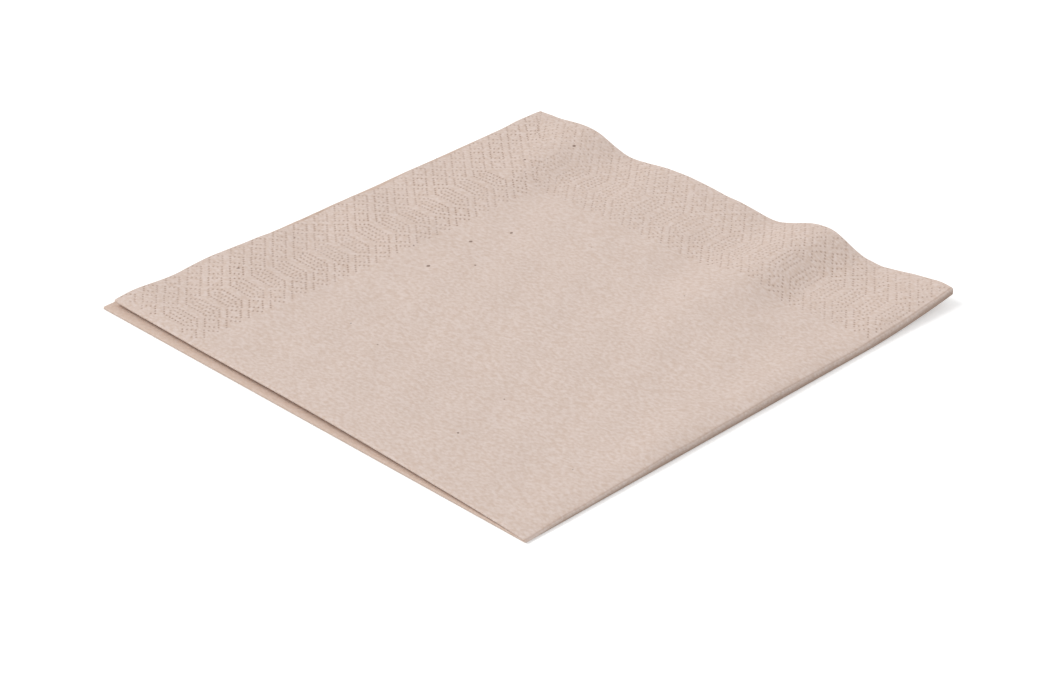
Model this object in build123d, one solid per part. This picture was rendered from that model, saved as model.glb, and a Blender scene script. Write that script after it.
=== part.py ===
from build123d import *
import os
from math import cos, radians, sin, tan

# A square two-ply tissue napkin, folded in half and then in half again, in
# millimetres, with +Z up.
#
# The first fold lays two leaves on each other. The second fold lays that pair
# over itself, which gives an upper pair and a lower pair of leaves. The two
# folds meet at the closed corner. The model is drawn with that corner at the
# origin, +X along the second fold and +Y along the first fold, and is moved at
# the end so that the middle of its underside is the origin.

# The sheet, opened out
open_side = 330.0
sheet_thickness = 0.3

# The air between the two leaves of a pair, and between the two pairs
leaf_gap = 0.2
pair_gap = 0.4

# The second fold is a little out of square, so the lower pair is turned by
# skew_deg about the closed corner. It is also a little off the middle, so the
# upper pair is shorter than half the sheet and the lower pair is longer.
skew_deg = 0.87
fold_offset = 1.0

# The upper pair is flat up to ripple_start from the first fold, and ripples
# more and more from there to its cut edge. Each pair of numbers is a place on
# that edge, from 0 at the second fold to 1 at the far corner, and the height
# there.
ripple_start = 70.0
ripple_points = [
    (0.10, 0.6),
    (0.28, 4.8),
    (0.43, 0.3),
    (0.62, 1.7),
    (0.76, 0.3),
    (0.88, 3.2),
    (1.00, 2.2),
]

folded_side = open_side / 2
upper_length = folded_side - fold_offset
lower_length = folded_side + fold_offset
pair_height = 2 * sheet_thickness + leaf_gap
total_height = 2 * pair_height + pair_gap
upper_pair_z = pair_height + pair_gap
leaf_pitch = sheet_thickness + leaf_gap

# The second fold lies halfway between the directions of the two pairs. Its
# round reaches half the total height out from where the leaves start.
half_skew = radians(skew_deg / 2)
fold_way = Vector(cos(half_skew), sin(half_skew), 0)
upper_way = Vector(0, 1, 0)
lower_way = Vector(-sin(2 * half_skew), cos(2 * half_skew), 0)
fold_start = Vector(0, total_height / 2, 0)
fold_axis = Axis(fold_start + Vector(0, 0, total_height / 2), fold_way)


def pair_section(reach):
    """Two leaves and the half round of the first fold that joins them, cut
    along the second fold. The leaves go out to reach from the first fold."""
    outer = pair_height / 2
    leaf_run = reach / cos(half_skew) - outer
    fold_centre = Pos(outer, upper_pair_z + outer)
    leaf_centre = Pos(outer + leaf_run / 2, upper_pair_z + outer)
    section = fold_centre * Circle(outer) + leaf_centre * Rectangle(leaf_run, pair_height)
    section -= fold_centre * Circle(leaf_gap / 2)
    section -= leaf_centre * Rectangle(leaf_run, leaf_gap)
    upright = Plane(fold_start, x_dir=fold_way, z_dir=fold_way.cross(Vector(0, 0, 1)))
    return upright * section


def run_to_edge(section, way, length):
    """The pair of leaves drawn out from the second fold, along way, and cut
    off square at length."""
    leaves = extrude(section, amount=length, dir=way)
    cut = Plane(way * length, z_dir=way)
    return split(leaves, bisect_by=cut, keep=Keep.BOTTOM)


def leaf_edge(x, base_z, rise):
    """A leaf's section at x from the first fold. It is flat where rise is 0,
    and has the whole ripple where rise is 1."""
    start_y = fold_start.Y + x * tan(half_skew)
    run = upper_length - start_y
    low = [(start_y, base_z)]
    for place, height in ripple_points:
        low.append((start_y + place * run, base_z + rise * height))
    high = [(y, z + sheet_thickness) for y, z in low]
    level = [(1, 0), (1, 0)]
    outline = Spline(low, tangents=level) + Spline(high, tangents=level)
    outline += Line(low[0], high[0]) + Line(low[-1], high[-1])
    return Plane.YZ.offset(x) * make_face(outline.edges())


def rippled_leaf(base_z):
    """The part of an upper leaf between ripple_start and the cut edge. It is
    straight across the ripples, as a sheet that bends without stretching is."""
    flat_end = leaf_edge(ripple_start, base_z, rise=0)
    cut_end = leaf_edge(folded_side, base_z, rise=1)
    return loft([flat_end, cut_end], ruled=True)


def napkin():
    whole_section = pair_section(folded_side)
    second_fold = revolve(whole_section, axis=fold_axis, revolution_arc=180)
    upper_flat = run_to_edge(pair_section(ripple_start), upper_way, upper_length)
    lower_section = whole_section.rotate(fold_axis, 180)
    lower_pair = run_to_edge(lower_section, lower_way, lower_length)
    leaves = [rippled_leaf(upper_pair_z), rippled_leaf(upper_pair_z + leaf_pitch)]
    return second_fold + upper_flat + lower_pair + leaves


def stand_at_origin(solid):
    """Moves the solid so that the middle of its box's underside is the origin."""
    box = solid.bounding_box()
    middle = box.center()
    return Pos(-middle.X, -middle.Y, -box.min.Z) * solid


os.makedirs("parts", exist_ok=True)
export_step(stand_at_origin(napkin()), "parts/napkin.step")
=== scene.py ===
import math

import bpy
import numpy as np
from mathutils import Matrix, Vector


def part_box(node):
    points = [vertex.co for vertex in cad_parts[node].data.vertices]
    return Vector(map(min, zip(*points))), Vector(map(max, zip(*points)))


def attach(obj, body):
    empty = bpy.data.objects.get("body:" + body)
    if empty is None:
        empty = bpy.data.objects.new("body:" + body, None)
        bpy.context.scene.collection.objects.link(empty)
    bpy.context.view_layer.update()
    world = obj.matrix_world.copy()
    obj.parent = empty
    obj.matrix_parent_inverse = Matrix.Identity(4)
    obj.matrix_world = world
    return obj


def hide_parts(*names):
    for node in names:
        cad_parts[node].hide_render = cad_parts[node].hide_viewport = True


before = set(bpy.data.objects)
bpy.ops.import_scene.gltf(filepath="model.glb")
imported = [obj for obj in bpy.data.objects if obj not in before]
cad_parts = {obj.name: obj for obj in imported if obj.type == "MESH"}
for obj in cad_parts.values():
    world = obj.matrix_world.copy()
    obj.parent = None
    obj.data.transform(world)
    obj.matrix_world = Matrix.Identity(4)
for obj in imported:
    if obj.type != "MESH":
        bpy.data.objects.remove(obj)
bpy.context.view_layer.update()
cadLow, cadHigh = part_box("napkin")
print("frame loaded")

mm = 0.001

# A paper napkin: one square sheet of tissue, folded in half, then in half again.
# Lengths are in millimetres. The sheet is laid out flat with the crossing of its two
# folds at (0, 0): u runs across the first fold and w across the second.
# The quarter with u and w above 0 ends up on top, its right side showing.
napkinLook = {
    "openSide": 330.0,
    "thickness": 0.30,
    "leafGap": 0.20,          # air between the two leaves of a pair
    "pairGap": 0.40,          # air between the two pairs
    "skewDegrees": 0.87,      # how far out of square the second fold is
    "skewFade": 110.0,        # the sheet's rows lie along the second fold up to here
    "foldOffset": 1.0,        # how far off the middle the second fold is
}

foldedSide = napkinLook["openSide"] / 2
leafRadius = (napkinLook["leafGap"] + napkinLook["thickness"]) / 2
leafBend = math.pi * leafRadius / 2
pairHeight = 2 * napkinLook["thickness"] + napkinLook["leafGap"]
pairRadius = (napkinLook["pairGap"] + pairHeight) / 2
pairBend = math.pi * pairRadius / 2
halfSkew = math.radians(napkinLook["skewDegrees"] / 2)
upperLength = foldedSide - napkinLook["foldOffset"]
lowerLength = foldedSide + napkinLook["foldOffset"]

# The closed corner, where the two folds meet, in the frame's millimetres
cornerX = cadHigh[0] / mm - foldedSide
cornerY = cadLow[1] / mm

# How finely the sheet is divided: the cells of a half, from the fold outwards
cellSteps = 8
plainCells = 42
bandCells = 9
bandWidth = 36.0
halfCells = 1 + plainCells + bandCells
allCells = 2 * halfCells
foldParts = 4                 # parts of the cells that take a fold's bend
plainParts = 2                # parts of the top leaf's cells inside the border


def eased(t):
    t = np.clip(t, 0.0, 1.0)
    return t * t * (3 - 2 * t)


def halfRuler(foldHalf, length):
    # places along one half: the fold's bend, the plain part, the embossed band
    bend = np.linspace(0.0, foldHalf, cellSteps + 1)
    plain = np.linspace(foldHalf, length - bandWidth, plainCells * cellSteps + 1)
    band = np.linspace(length - bandWidth, length, bandCells * cellSteps + 1)
    return np.concatenate([bend, plain[1:], band[1:]])


def fullRuler(foldHalf, lowLength, highLength):
    low = halfRuler(foldHalf, lowLength)
    high = halfRuler(foldHalf, highLength)
    return np.concatenate([-low[:0:-1], high])


uRuler = fullRuler(leafBend, foldedSide, foldedSide)
wRuler = fullRuler(pairBend, lowerLength, upperLength)
uGrid, wGrid = np.meshgrid(uRuler, wRuler, indexing="ij")

# The embossed border: rows of diamond rings, then long hexagons. Depths are in from
# the cut edge, and places along the edge are in tenths of the pitch.
borderLook = {
    "pressDepth": 0.11,       # depth of an embossed dot
    "pressRadius": 0.36,
    "pressReach": 2.4,        # where a dot has faded out, in radii
    "pitch": 7.78,            # from one hexagon to the next
    "rowStep": 0.996,         # from one dot of a ring to the next, going in
    "ringSide": 3,            # dots along a ring's side, without its first
    "betweenPlace": 5,        # halfway from one hexagon to the next
    "ringDepths": [2.3, 6.9, 11.55],
    "lastRingDepth": 29.5,
    "cornerRingDepths": [16.2, 20.8, 25.4, 30.1],
    "hexagonTips": (13.4, 28.15),
    "innerTips": (16.3, 25.4),
    "tipStep": 1.02,
    "outerColumn": (3, 16.4, 1.25, 8),   # place, first depth, step, dots
    "innerColumn": (1, 17.3, 1.41, 6),
    "chevronDepth": 31.1,
    "chevronStep": 1.0,
    "runs": 22,               # pitches in a folded side
    "backFirst": 6.9,         # first hexagon of the back-left band, from the first fold
    "backHexagons": 16,
    "sideLast": 28.4,         # last hexagon of the back-right band, from the cut edge
    "sideHexagons": 18,
    "sidePress": 0.85,        # the back-right band is pressed a little less
    "foldMargin": 1.8,        # no dots closer to a fold than this
    "mitreMargin": 0.3,       # how far a band runs past the corner's diagonal
}


def ringDots(middle, depth):
    side = borderLook["ringSide"]
    dots = []
    for k in range(side + 1):
        inward = (side - k) * borderLook["rowStep"]
        for across in (middle - k, middle + k):
            dots.append((across, depth - inward))
            dots.append((across, depth + inward))
    return dots


def hexagonDots():
    firstTip, lastTip = borderLook["hexagonTips"]
    dots = [(0, firstTip), (0, lastTip)]
    dots += [(0, depth) for depth in borderLook["innerTips"]]
    for side in (-1, 1):
        for k in (1, 2):
            dots.append((side * k, firstTip + k * borderLook["tipStep"]))
            dots.append((side * k, lastTip - k * borderLook["tipStep"]))
        for place, depth, step, count in (borderLook["outerColumn"], borderLook["innerColumn"]):
            dots += [(side * place, depth + k * step) for k in range(count)]
    return dots


def chevronDots():
    # the zigzag that closes the border on its inner side
    dots = []
    for side in (-1, 1):
        for k in range(borderLook["ringSide"] + 1):
            dots.append((side * k, borderLook["chevronDepth"] + k * borderLook["chevronStep"]))
    return dots


def ringRows(depths, betweenFirst):
    # rings at each depth, by turns between two hexagons and in line with one
    dots = []
    for row, depth in enumerate(depths):
        between = (row % 2 == 0) == betweenFirst
        dots += ringDots(borderLook["betweenPlace"] if between else 0, depth)
    return dots


def repeatDots(withHexagon):
    dots = ringRows(borderLook["ringDepths"], True)
    if not withHexagon:
        return dots + ringRows(borderLook["cornerRingDepths"], False)
    dots += hexagonDots()
    dots += ringDots(borderLook["betweenPlace"], borderLook["lastRingDepth"])
    return dots + chevronDots()


def bandDots(firstMiddle, hexagons):
    # one band's dots as (along the edge, in from the edge)
    pitch = borderLook["pitch"]
    found = set()
    for k in range(-1, borderLook["runs"]):
        for across, depth in repeatDots(k < hexagons):
            along = firstMiddle + k * pitch + across * pitch / 10
            if borderLook["foldMargin"] < along < foldedSide - depth + borderLook["mitreMargin"]:
                found.add((round(along, 2), round(depth, 2)))
    return sorted(found)


def press(field, u, w, strength):
    radius = borderLook["pressRadius"]
    reach = borderLook["pressReach"] * radius
    i0, i1 = np.searchsorted(uRuler, (u - reach, u + reach))
    j0, j1 = np.searchsorted(wRuler, (w - reach, w + reach))
    du = uRuler[i0:i1, None] - u
    dw = wRuler[None, j0:j1] - w
    patch = strength * np.exp(-(du * du + dw * dw) / (radius * radius))
    field[i0:i1, j0:j1] = np.maximum(field[i0:i1, j0:j1], patch)


def pressField():
    # 1 in the middle of a dot, falling to 0 around it, over the whole sheet
    field = np.zeros_like(uGrid)
    sideFirst = (foldedSide - borderLook["sideLast"]) % borderLook["pitch"]
    backBand = bandDots(borderLook["backFirst"], borderLook["backHexagons"])
    sideBand = bandDots(sideFirst, borderLook["sideHexagons"])
    for uSide in (1, -1):
        for wSide, length in ((1, upperLength), (-1, lowerLength)):
            for along, depth in backBand:
                press(field, uSide * along, wSide * (length - depth), 1.0)
            for along, depth in sideBand:
                press(field, uSide * (foldedSide - depth), wSide * along, borderLook["sidePress"])
    return np.clip(field, 0.0, 1.0)


def folded(out, pressed):
    # where the sheet's points go, a distance out from its middle surface
    angle = np.clip(uGrid / leafRadius, -math.pi / 2, math.pi / 2)
    reach = leafRadius + out - pressed
    x = leafRadius - reach * np.cos(angle) + np.maximum(np.abs(uGrid) - leafBend, 0.0)
    bend = np.clip(wGrid / pairRadius, -math.pi / 2, math.pi / 2)
    radius = pairRadius + reach * np.sin(angle)
    y = pairRadius + leafRadius - radius * np.cos(bend) + np.maximum(np.abs(wGrid) - pairBend, 0.0)
    z = radius * np.sin(bend)
    # the second fold is out of square: the lower pair turns about the closed corner
    lowerShare = (1 - np.sin(bend)) / 2
    nearFold = 1 - eased(np.abs(wGrid) / napkinLook["skewFade"])
    y = y + math.tan(halfSkew) * x * nearFold * (1 - 2 * lowerShare)
    turn = 2 * halfSkew * lowerShare
    turnedX = x * np.cos(turn) - y * np.sin(turn)
    turnedY = x * np.sin(turn) + y * np.cos(turn)
    return turnedX, turnedY, z + pairHeight + napkinLook["pairGap"] / 2


# How the folded napkin lies. Heights are in millimetres. Places are shares of the
# folded side: a from the first fold to the back-right edge, b from the second fold
# to the back-left edge.
lieLook = {
    # a point at this height in the flat stack takes no lift, and one this much above it all
    "liftFrom": 0.6,
    "liftOver": 0.8,
    # the top pair's back-right edge: (b, height)
    "edgeWaves": [(0.0, 0.3), (0.10, 0.4), (0.19, 0.7), (0.28, 4.9), (0.41, 0.0), (0.50, 1.2),
                  (0.62, 1.9), (0.76, 0.0), (0.86, 3.6), (0.95, 2.2), (1.0, 2.0)],
    "waveStart": 0.42,
    "wavePower": 1.6,
    # (height, a, width in a, b, width in b)
    "hump": (1.1, 0.80, 0.13, 0.30, 0.055),
    "dip": (-0.55, 0.84, 0.10, 0.185, 0.045),
    "ridge": (0.75, 0.86, 0.045, 0.2, 0.08),
    "ridgeLean": 0.9,
    "droop": (-0.55, 0.0, 0.07, 0.0, 0.07),
    # the right corner: (a or b where its curl starts, how sharply it grows)
    "curlHeight": 3.8,
    "curlExtra": 1.4,         # more for the top pair
    "curlA": (0.78, 1.7),
    "curlB": (0.16, 1.1),
    "tipDrop": 0.22,          # the very tip comes down again by this share
    "tipWidth": 0.03,
    # the loose first fold of the top pair
    "frontHeight": 1.35,
    "frontFrom": 0.06,
    "frontSpan": 0.90,
    "frontPower": 1.3,
    "frontWidth": 0.16,
    # the swelling beside the second fold
    "puffHeight": 1.0,
    "puffPlace": 0.03,
    "puffWidth": 0.05,
    "puffIn": 0.35,
    "puffOut": 0.8,
    # the back-left edge
    "swayHeight": 0.42,
    "swayStart": 0.70,
    "leftHeight": 0.9,
    "leftStart": 0.66,
    "leftPlace": 0.12,
    "leftWidth": 0.16,
    # how much tighter the layers lie, and how far that reaches in millimetres
    "foldSqueeze": (0.24, 3.5),
    "cornerSqueeze": (0.26, 22.0),
    "cornerSqueezeStart": 0.84,
}

beyondEdge = 1.1              # limit of a growth that runs a little past the edge


def alongWaves(place, waves):
    # level at every listed place, eased from one to the next
    height = np.full_like(place, waves[0][1])
    for (p0, h0), (p1, h1) in zip(waves, waves[1:]):
        height += (h1 - h0) * eased((place - p0) / (p1 - p0))
    return height


def bell(place, middle, width):
    return np.exp(-((place - middle) / width) ** 2)


def growing(place, start, power):
    return np.clip((place - start) / (1 - start), 0.0, beyondEdge) ** power


def swelling(name, a, b):
    height, middleA, widthA, middleB, widthB = lieLook[name]
    return height * bell(a, middleA, widthA) * bell(b, middleB, widthB)


def openEdgeLift(a, b):
    waves = growing(a, lieLook["waveStart"], lieLook["wavePower"]) * alongWaves(b, lieLook["edgeWaves"])
    ridge = swelling("ridge", a + lieLook["ridgeLean"] * b, b)
    return waves + swelling("hump", a, b) + swelling("dip", a, b) + ridge


def cornerCurl(a, b, top):
    startB, powerB = lieLook["curlB"]
    alongA = growing(a, *lieLook["curlA"])
    alongB = np.clip((startB - b) / startB, 0.0, 1.0) ** powerB
    tip = 1 - lieLook["tipDrop"] * bell(b, 0.0, lieLook["tipWidth"])
    return (lieLook["curlHeight"] + lieLook["curlExtra"] * top) * alongA * alongB * tip


def frontLift(a, b):
    # the first fold stands open in the middle, and the second fold swells behind its line
    share = np.clip((b - lieLook["frontFrom"]) / lieLook["frontSpan"], 0, 1)
    loose = np.sin(math.pi * share) ** lieLook["frontPower"]
    loose = lieLook["frontHeight"] * loose * bell(a, 0.0, lieLook["frontWidth"])
    middle = eased(a / lieLook["puffIn"]) * (1 - eased((a - lieLook["puffOut"]) / (1 - lieLook["puffOut"])))
    puff = lieLook["puffHeight"] * bell(b, lieLook["puffPlace"], lieLook["puffWidth"]) * middle
    return loose + puff


def backLift(a, b):
    sway = 1 + np.sin(a * 29.0 + 1.3 * np.sin(a * 11.0))
    waves = lieLook["swayHeight"] * eased((b - lieLook["swayStart"]) / (1 - lieLook["swayStart"])) * sway
    left = lieLook["leftHeight"] * eased((b - lieLook["leftStart"]) / (1 - lieLook["leftStart"]))
    return waves + left * bell(a, lieLook["leftPlace"], lieLook["leftWidth"])


def softLift(a, b):
    # broad, middling and fine unevenness, each from sines that don't repeat together
    broad = 0.24 * np.sin(a * 17 + b * 9 + 1.0) * np.sin(b * 13 - a * 5 + 2.0)
    middling = 0.17 * np.sin(a * 37 - b * 21 + 0.5) * np.sin(b * 33 + a * 13)
    fine = 0.05 * np.sin(a * 83 + 3 * np.sin(b * 19)) * np.sin(b * 71 + 2 * np.sin(a * 23))
    return (broad + middling + fine) * eased(a / 0.1)


def lift(x, y, z):
    a = x / foldedSide
    b = y / foldedSide
    top = eased((z - lieLook["liftFrom"]) / lieLook["liftOver"])
    lifts = openEdgeLift(a, b) + frontLift(a, b) + backLift(a, b) + swelling("droop", a, b)
    return cornerCurl(a, b, top) + top * (lifts + softLift(a, b))


def squeezed(x, y, z):
    # the layers lie tighter along the second fold and at the curled corner
    foldShare, foldReach = lieLook["foldSqueeze"]
    cornerShare, cornerReach = lieLook["cornerSqueeze"]
    start = lieLook["cornerSqueezeStart"]
    atCorner = np.clip((x / foldedSide - start) / (1 - start), 0.0, 1.0) * bell(y, 0.0, cornerReach)
    return z * (1 - foldShare * bell(y, 0.0, foldReach) - cornerShare * atCorner)


def placed(out, pressed):
    x, y, z = folded(out, pressed)
    z = np.maximum(squeezed(x, y, z) + lift(x, y, z), 0.0)
    return np.stack([x + cornerX, y + cornerY, z], axis=-1) * mm


def cellDivision(i, j, outside):
    # how many parts a cell has across u and across w
    across = i - halfCells
    up = j - halfCells
    ringU = across if across >= 0 else -across - 1
    ringW = up if up >= 0 else -up - 1
    foldU = foldParts if ringU == 0 else 1
    foldW = foldParts if ringW == 0 else 1
    if not outside:
        return max(1, foldU // 2), max(1, foldW // 2)
    if across < 0 or up < 0:
        return foldU, foldW
    if ringU > plainCells or ringW > plainCells:
        return cellSteps, cellSteps
    return max(plainParts, foldU), max(plainParts, foldW)


def edgeStep(division, outerRim, own, i, j, di, dj, way):
    # the shorter of this cell's step and that of the cell over its edge
    other = division.get((i + di, j + dj))
    if other is None:
        return own if outerRim is None else min(own, cellSteps // outerRim[i, j][way])
    return min(own, cellSteps // other[way])


def patchOutline(division, outerRim, i, j, p, q):
    # one face, with a corner wherever a finer neighbour has one
    nu, nw = division[i, j]
    stepU = cellSteps // nu
    stepW = cellSteps // nw
    u0 = i * cellSteps + p * stepU
    w0 = j * cellSteps + q * stepW
    u1 = u0 + stepU
    w1 = w0 + stepW
    near = edgeStep(division, outerRim, stepU, i, j, 0, -1, 0) if q == 0 else stepU
    right = edgeStep(division, outerRim, stepW, i, j, 1, 0, 1) if p == nu - 1 else stepW
    far = edgeStep(division, outerRim, stepU, i, j, 0, 1, 0) if q == nw - 1 else stepU
    left = edgeStep(division, outerRim, stepW, i, j, -1, 0, 1) if p == 0 else stepW
    outline = [(u, w0) for u in range(u0, u1, near)]
    outline += [(u1, w) for w in range(w0, w1, right)]
    outline += [(u, w1) for u in range(u1, u0, -far)]
    outline += [(u0, w) for w in range(w1, w0, -left)]
    return outline


def layoutFaces(outside, outerRim=None):
    division = {}
    for i in range(allCells):
        for j in range(allCells):
            division[i, j] = cellDivision(i, j, outside)
    faces = []
    for (i, j), (nu, nw) in division.items():
        for p in range(nu):
            for q in range(nw):
                faces.append(patchOutline(division, outerRim, i, j, p, q))
    return faces, division


def cellPlaces(cell, parts, backwards=False):
    # the lattice numbers along one cell's side, without the last
    first = cell * cellSteps
    last = first + cellSteps
    step = cellSteps // parts
    return range(last, first, -step) if backwards else range(first, last, step)


def rimPlaces(division):
    # the lattice places round the cut edge, in order
    end = allCells - 1
    last = allCells * cellSteps
    places = []
    for i in range(allCells):
        places += [(u, 0) for u in cellPlaces(i, division[i, 0][0])]
    for j in range(allCells):
        places += [(last, w) for w in cellPlaces(j, division[end, j][1])]
    for i in reversed(range(allCells)):
        places += [(u, last) for u in cellPlaces(i, division[i, end][0], True)]
    for j in reversed(range(allCells)):
        places += [(0, w) for w in cellPlaces(j, division[0, j][1], True)]
    return places


# Painted shade that follows the folds: on the faces that lie between the leaves, and along the second
# fold's creases. A crease is (place across the second fold, width, share).
foldPaintedShades = {
    "leafSideU": -0.2,        # the top leaf starts here, across the first fold
    "leafSideW": -0.25,       # and here, across the second
    "shadedOpenness": 0.55,   # painted shade on the right side of the other three leaves
    "creases": [(-0.15, 0.28, 1.0), (0.75, 0.2, 0.6)],
}


def marksAt(place, side, pressed):
    # red: the embossed dots, darkened partly as painted shade; green: how open to the light, with painted
    # shade where it is low; blue: painted shade along the second fold's creases
    # the wrong side of the sheet takes the full painted shade
    if not side:
        return 0.0, 0.0, 0.0, 1.0
    u = uGrid[place]
    w = wGrid[place]
    onTop = u > foldPaintedShades["leafSideU"] and w > foldPaintedShades["leafSideW"]
    crease = sum(share * bell(w, middle, width) for middle, width, share in foldPaintedShades["creases"])
    return float(pressed[place]), 1.0 if onTop else foldPaintedShades["shadedOpenness"], min(1.0, crease), 1.0


def buildNapkin():
    pressed = pressField()
    half = napkinLook["thickness"] / 2
    sides = [placed(-half, 0.0), placed(half, pressed * borderLook["pressDepth"])]
    outFaces, outDivision = layoutFaces(True)
    inFaces = layoutFaces(False, outDivision)[0]
    verts = []
    marks = []
    index = {}

    def vertexAt(side, place):
        key = (side, place)
        if key not in index:
            index[key] = len(verts)
            verts.append(tuple(sides[side][place]))
            marks.append(marksAt(place, side, pressed))
        return index[key]

    faces = [[vertexAt(1, place) for place in outline] for outline in outFaces]
    faces += [[vertexAt(0, place) for place in reversed(outline)] for outline in inFaces]
    rim = rimPlaces(outDivision)
    for here, after in zip(rim, rim[1:] + rim[:1]):
        faces.append([vertexAt(1, after), vertexAt(1, here), vertexAt(0, here), vertexAt(0, after)])
    mesh = bpy.data.meshes.new("napkin_tissue")
    mesh.from_pydata(verts, [], faces)
    mesh.validate()
    attribute = mesh.color_attributes.new("pressAndPaintedShadeMarks", "FLOAT_COLOR", "POINT")
    attribute.data.foreach_set("color", np.array(marks, dtype=np.float32).ravel())
    mesh.shade_smooth()
    mesh.set_sharp_from_angle(angle=math.radians(50))
    piece = bpy.data.objects.new("napkin_tissue", mesh)
    bpy.context.scene.collection.objects.link(piece)
    print("napkin built", len(verts), "points", len(faces), "faces")
    return piece


# The tissue. Noise scales are per metre, and a range is (from low, from high, to low, to high).
tissueLook = {
    "fibre": (0.738, 0.621, 0.566, 1.0),
    "fibreDeep": (0.640, 0.504, 0.428, 1.0),
    # the dots are darker partly because the pressed plies are bonded tighter and partly as painted shade in
    # their pits
    "dotBondingAndPaintedShade": (0.350, 0.225, 0.165, 1.0),
    # painted shade, warm brown for light bounced between and shining through the leaves, on the wrong side
    # and the three lower leaves
    "paintedGapShade": (0.600, 0.435, 0.335, 1.0),
    # painted shade along the creases of the second fold
    "creasePaintedShade": (0.330, 0.200, 0.135, 1.0),
    "speckShade": (0.20, 0.13, 0.10, 1.0),
    "roughness": 0.95,
    "specular": 0.15,
    "grainTurn": 0.6,         # radians, the way the fibres run
    "cloudScale": 1300.0,
    "cloudDetail": 8.0,
    "cloudStretch": (1.0, 0.6, 1.0),
    "cloudRange": (0.36, 0.66, 0.0, 1.0),
    "fibreScale": 4000.0,
    "fibreDetail": 4.0,
    "fibreStretch": (1.0, 0.3, 1.0),
    "fibreRange": (0.45, 0.75, 0.0, 0.45),
    "wornScale": 75.0,        # patches where the dots are pressed less
    "wornDetail": 3.0,
    "wornRange": (0.38, 0.62, 0.55, 0.95),
    "dotRange": (0.18, 0.75, 0.0, 1.0),
    "gapPaintedShadeRange": (0.0, 1.0, 0.95, 0.0),
    "creasePaintedShadeRange": (0.15, 1.0, 0.0, 0.65),
    "speckScale": 430.0,
    "speckRange": (0.868, 0.885, 0.0, 0.8),
    "bumpStrength": 0.18,
    "bumpDistance": 0.00012,
}


def grainNoise(nodes, links, coords, scale, detail, stretch=None):
    noise = nodes.new("ShaderNodeTexNoise")
    noise.inputs["Scale"].default_value = scale
    noise.inputs["Detail"].default_value = detail
    source = coords
    if stretch:
        mapping = nodes.new("ShaderNodeMapping")
        mapping.inputs["Scale"].default_value = stretch
        mapping.inputs["Rotation"].default_value = (0.0, 0.0, tissueLook["grainTurn"])
        links.new(coords, mapping.inputs["Vector"])
        source = mapping.outputs["Vector"]
    links.new(source, noise.inputs["Vector"])
    return noise.outputs["Fac"]


def remap(nodes, links, value, rangeName):
    node = nodes.new("ShaderNodeMapRange")
    sockets = ("From Min", "From Max", "To Min", "To Max")
    for socket, number in zip(sockets, tissueLook[rangeName]):
        node.inputs[socket].default_value = number
    links.new(value, node.inputs["Value"])
    return node.outputs["Result"]


def mathNode(nodes, links, operation, first, second):
    node = nodes.new("ShaderNodeMath")
    node.operation = operation
    for socket, value in zip(node.inputs, (first, second)):
        if isinstance(value, float):
            socket.default_value = value
        else:
            links.new(value, socket)
    return node.outputs[0]


def tinted(nodes, links, amount, under, shade):
    # lay a shade over the colour so far, by amount
    node = nodes.new("ShaderNodeMix")
    node.data_type = "RGBA"
    colours = [socket for socket in node.inputs if socket.type == "RGBA"]
    if isinstance(under, tuple):
        colours[0].default_value = under
    else:
        links.new(under, colours[0])
    colours[1].default_value = shade
    links.new(amount, node.inputs[0])
    return [socket for socket in node.outputs if socket.type == "RGBA"][0]


def tissuePaper():
    material = bpy.data.materials.new("tissuePaper")
    material.use_nodes = True
    nodes = material.node_tree.nodes
    links = material.node_tree.links
    look = tissueLook
    shader = nodes["Principled BSDF"]
    shader.inputs["Roughness"].default_value = look["roughness"]
    shader.inputs["Specular IOR Level"].default_value = look["specular"]
    coords = nodes.new("ShaderNodeTexCoord").outputs["Object"]
    marks = nodes.new("ShaderNodeVertexColor")
    marks.layer_name = "pressAndPaintedShadeMarks"
    parts = nodes.new("ShaderNodeSeparateColor")
    links.new(marks.outputs["Color"], parts.inputs["Color"])
    clouds = grainNoise(nodes, links, coords, look["cloudScale"], look["cloudDetail"], look["cloudStretch"])
    fibres = grainNoise(nodes, links, coords, look["fibreScale"], look["fibreDetail"], look["fibreStretch"])
    patches = grainNoise(nodes, links, coords, look["wornScale"], look["wornDetail"])
    flecks = grainNoise(nodes, links, coords, look["speckScale"], 0.0)
    cloudy = remap(nodes, links, clouds, "cloudRange")
    colour = tinted(nodes, links, cloudy, look["fibre"], look["fibreDeep"])
    colour = tinted(nodes, links, remap(nodes, links, fibres, "fibreRange"), colour, look["fibreDeep"])
    # darken the dots: partly their tighter bonded plies, partly painted shade in the pits
    pressed = remap(nodes, links, parts.outputs["Red"], "dotRange")
    worn = remap(nodes, links, patches, "wornRange")
    dots = mathNode(nodes, links, "MULTIPLY", pressed, worn)
    colour = tinted(nodes, links, dots, colour, look["dotBondingAndPaintedShade"])
    # painted shade on the wrong side and the lower leaves, by how open they are to the light
    inside = remap(nodes, links, parts.outputs["Green"], "gapPaintedShadeRange")
    colour = tinted(nodes, links, inside, colour, look["paintedGapShade"])
    # painted shade along the second fold's creases
    creases = remap(nodes, links, parts.outputs["Blue"], "creasePaintedShadeRange")
    colour = tinted(nodes, links, creases, colour, look["creasePaintedShade"])
    colour = tinted(nodes, links, remap(nodes, links, flecks, "speckRange"), colour, look["speckShade"])
    links.new(colour, shader.inputs["Base Color"])
    bump = nodes.new("ShaderNodeBump")
    bump.inputs["Strength"].default_value = look["bumpStrength"]
    bump.inputs["Distance"].default_value = look["bumpDistance"]
    links.new(fibres, bump.inputs["Height"])
    links.new(bump.outputs["Normal"], shader.inputs["Normal"])
    return material


napkin = buildNapkin()
napkin.data.materials.append(tissuePaper())
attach(napkin, "root")
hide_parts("napkin")


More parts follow.
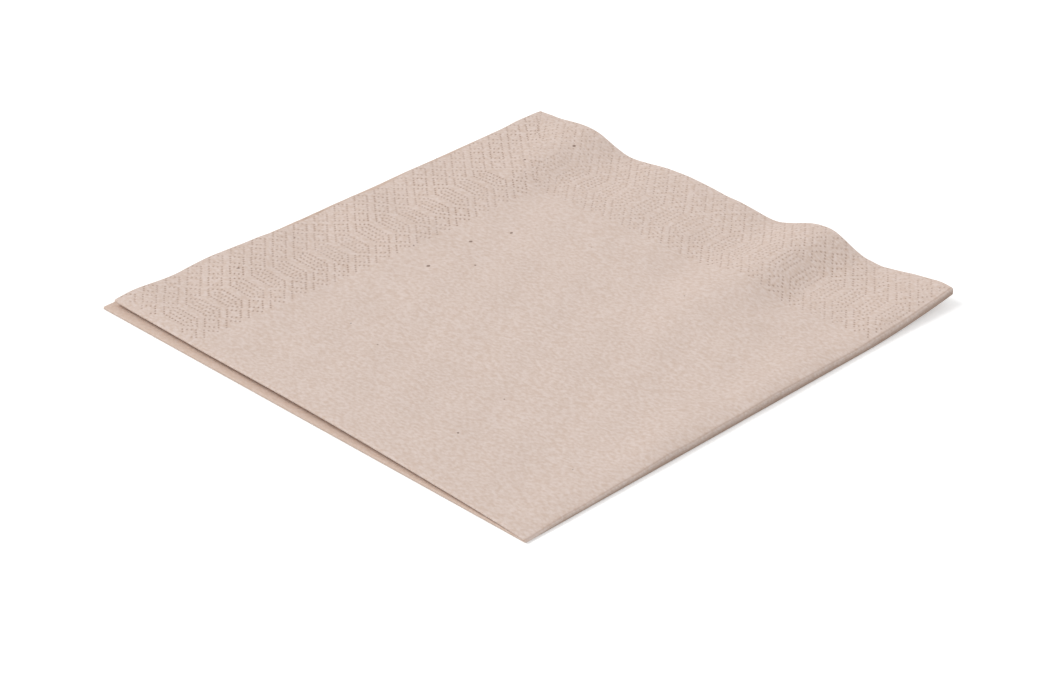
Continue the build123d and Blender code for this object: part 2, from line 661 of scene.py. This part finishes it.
# The floor, the sky and two lamps, in metres and watts
studioLook = {
    "floorSize": 6.0,
    "floorColour": (0.80, 0.80, 0.80, 1.0),
    "floorLift": 0.42,        # added for the eye only, so that the lit floor is white
    "floorDrop": 0.00005,     # a hair under the napkin
    "skyLevel": 0.575,
    "mainWatts": 92.0,
    "mainSize": 2.6,
    "mainPlace": (-1.9, 1.9, 3.1),
    "sideWatts": 0.4,
    "sideSize": 0.5,
    "sidePlace": (0.35, -0.50, 0.70),
}

white = (1.0, 1.0, 1.0, 1.0)


def eyeRays(nodes, links):
    # 1 where the floor or sky is seen straight, in a reflection or through something
    path = nodes.new("ShaderNodeLightPath").outputs
    seen = mathNode(nodes, links, "MAXIMUM", path["Is Camera Ray"], path["Is Glossy Ray"])
    return mathNode(nodes, links, "MAXIMUM", seen, path["Is Transmission Ray"])


def floorPaint():
    material = bpy.data.materials.new("studioFloor")
    material.use_nodes = True
    nodes = material.node_tree.nodes
    links = material.node_tree.links
    shader = nodes["Principled BSDF"]
    shader.inputs["Base Color"].default_value = studioLook["floorColour"]
    shader.inputs["Roughness"].default_value = 1.0
    shader.inputs["Specular IOR Level"].default_value = 0.0
    shader.inputs["Emission Color"].default_value = white
    glow = mathNode(nodes, links, "MULTIPLY", eyeRays(nodes, links), studioLook["floorLift"])
    links.new(glow, shader.inputs["Emission Strength"])
    return material


def buildFloor():
    half = studioLook["floorSize"] / 2
    level = -studioLook["floorDrop"]
    corners = [(-half, -half, level), (half, -half, level), (half, half, level), (-half, half, level)]
    mesh = bpy.data.meshes.new("floor")
    mesh.from_pydata(corners, [], [(0, 1, 2, 3)])
    mesh.materials.append(floorPaint())
    floor = bpy.data.objects.new("floor", mesh)
    bpy.context.scene.collection.objects.link(floor)


def paintSky():
    world = bpy.data.worlds.new("studio")
    bpy.context.scene.world = world
    world.use_nodes = True
    nodes = world.node_tree.nodes
    links = world.node_tree.links
    sky = nodes["Background"]
    sky.inputs["Color"].default_value = white
    level = nodes.new("ShaderNodeMapRange")
    level.inputs["To Min"].default_value = studioLook["skyLevel"]
    level.inputs["To Max"].default_value = 1.0
    links.new(eyeRays(nodes, links), level.inputs["Value"])
    links.new(level.outputs["Result"], sky.inputs["Strength"])


def hangLamp(name):
    place = Vector(studioLook[name + "Place"])
    lamp = bpy.data.lights.new(name + "Lamp", "AREA")
    lamp.shape = "DISK"
    lamp.size = studioLook[name + "Size"]
    lamp.energy = studioLook[name + "Watts"]
    holder = bpy.data.objects.new(name + "Lamp", lamp)
    holder.location = place
    holder.rotation_euler = (-place).to_track_quat("-Z", "Y").to_euler()
    bpy.context.scene.collection.objects.link(holder)


cameraLook = {
    "azimuth": -133.66,       # degrees, the side of the napkin that the camera is on
    "elevation": 30.33,
    "roll": -0.776,
    "distance": 0.7757,       # metres
    "aimX": 64.29,            # the point looked at, millimetres from the closed corner
    "aimY": 66.97,
    "lens": 98.57,
}


def placeCamera():
    azimuth = math.radians(cameraLook["azimuth"])
    elevation = math.radians(cameraLook["elevation"])
    flat = math.cos(elevation)
    back = Vector((math.cos(azimuth) * flat, math.sin(azimuth) * flat, math.sin(elevation)))
    aim = Vector(((cornerX + cameraLook["aimX"]) * mm, (cornerY + cameraLook["aimY"]) * mm, 0.0))
    data = bpy.data.cameras.new("camera")
    data.lens = cameraLook["lens"]
    data.sensor_width = 36.0
    data.clip_start = 0.01
    data.clip_end = 50.0
    camera = bpy.data.objects.new("camera", data)
    turn = back.to_track_quat("Z", "Y").to_matrix().to_4x4()
    roll = Matrix.Rotation(math.radians(cameraLook["roll"]), 4, "Z")
    camera.matrix_world = Matrix.Translation(aim + back * cameraLook["distance"]) @ turn @ roll
    bpy.context.scene.collection.objects.link(camera)
    bpy.context.scene.camera = camera


buildFloor()
paintSky()
hangLamp("main")
hangLamp("side")
placeCamera()
bpy.context.scene.view_settings.view_transform = "Standard"
print("floor, lights and camera placed")
